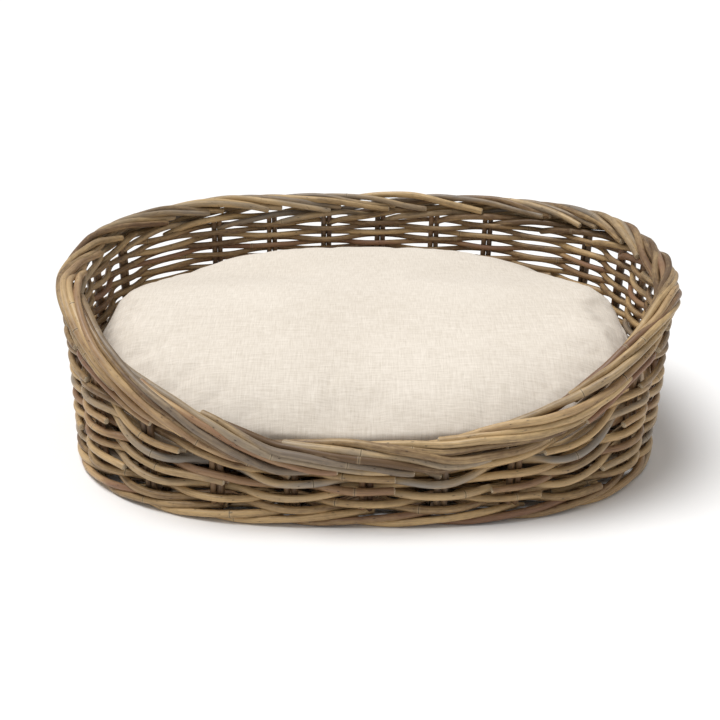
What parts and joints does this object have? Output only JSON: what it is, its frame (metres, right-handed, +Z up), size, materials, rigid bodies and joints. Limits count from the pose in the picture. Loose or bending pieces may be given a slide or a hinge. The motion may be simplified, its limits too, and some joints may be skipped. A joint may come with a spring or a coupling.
{
  "type": "wicker pet bed basket",
  "caption": "Oval woven cane pet bed basket with a low front, a rolled rim and a loose, filled cushion that lifts out.",
  "frame": {"origin": "middle of the footprint on the floor, under the middle of the oval", "axes": "+X along the long side to the right, -Y towards the low front, +Z up"},
  "size_m": [0.7098, 0.573, 0.2167],
  "materials": {
    "stick_cane": "natural round rattan, matt",
    "weaving_cane": "grey-brown rattan with the bark on, satin",
    "stake_cane": "dark brown rattan, matt",
    "border_cane": "tan to grey rattan with the bark on, satin",
    "filling": "soft fibre pad",
    "cover_cloth": "natural linen and cotton cloth, plain weave",
    "zip_tape": "woven polyester tape",
    "zip_coil": "moulded coil",
    "zip_metal": "nickel plated"
  },
  "bodies": {
    "basket": {"base_long_sticks": "stick_cane", "base_cross_sticks": "stick_cane", "base_weave": "weaving_cane", "foot_wale": "weaving_cane", "stakes_front": "stake_cane", "stakes_right": "stake_cane", "stakes_back": "stake_cane", "stakes_left": "stake_cane", "upsett_row": "weaving_cane", "full_rows": "weaving_cane", "short_rows_low": "weaving_cane", "short_rows_middle": "weaving_cane", "short_rows_high": "weaving_cane", "rim_border": "border_cane"},
    "cushion": {"cushion_filling": "filling", "cover_top_panel": "cover_cloth", "cover_bottom_panel": "cover_cloth", "zip_tapes": "zip_tape", "zip_teeth": "zip_coil", "zip_stops": "zip_metal"},
    "zip_runner": {"zip_slider": "zip_metal", "zip_pull": "zip_metal"}
  },
  "joints": [
    {"name": "cushion_lift", "type": "slide", "parent": "basket", "child": "cushion", "axis": [0, 0, 1], "range_m": [0, 0.3]},
    {"name": "zip_run", "type": "slide", "parent": "cushion", "child": "zip_runner", "axis": [-1, 0, 0], "range_m": [0, 0.3]}
  ]
}
